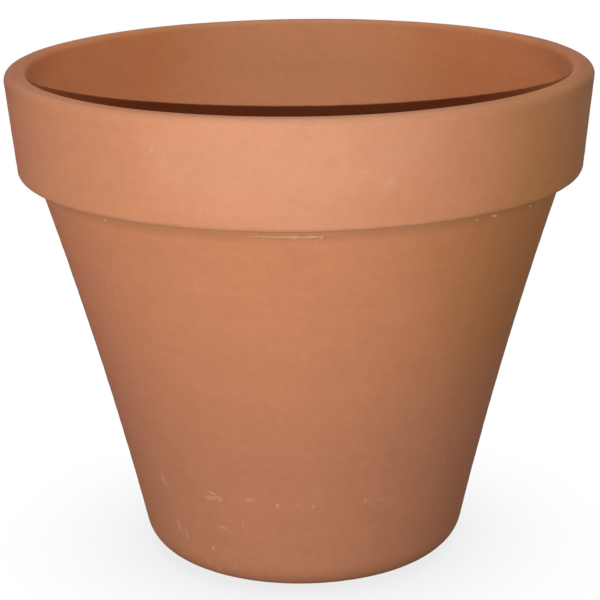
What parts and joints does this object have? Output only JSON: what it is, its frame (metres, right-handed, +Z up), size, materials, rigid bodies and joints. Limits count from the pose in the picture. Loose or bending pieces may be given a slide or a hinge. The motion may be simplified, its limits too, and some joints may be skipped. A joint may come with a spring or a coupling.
{
  "type": "clay pot",
  "caption": "Round banded flower pot of unglazed red clay, wider at the rim than at the foot, with a thick collar round the rim and a drainage hole in the floor.",
  "frame": {"origin": "centre of the foot, on the level that the pot stands on", "axes": "+Z up along the axis the pot was turned about; +X and +Y are level, and the pot is the same all round"},
  "size_m": [0.31, 0.31, 0.2665],
  "materials": {
    "terracotta": "fired red clay, unglazed and matte, with a fine grain, faint turning marks and pale mineral scuffs near the foot"
  },
  "bodies": {
    "root": {"clay_pot": "terracotta"}
  },
  "joints": []
}
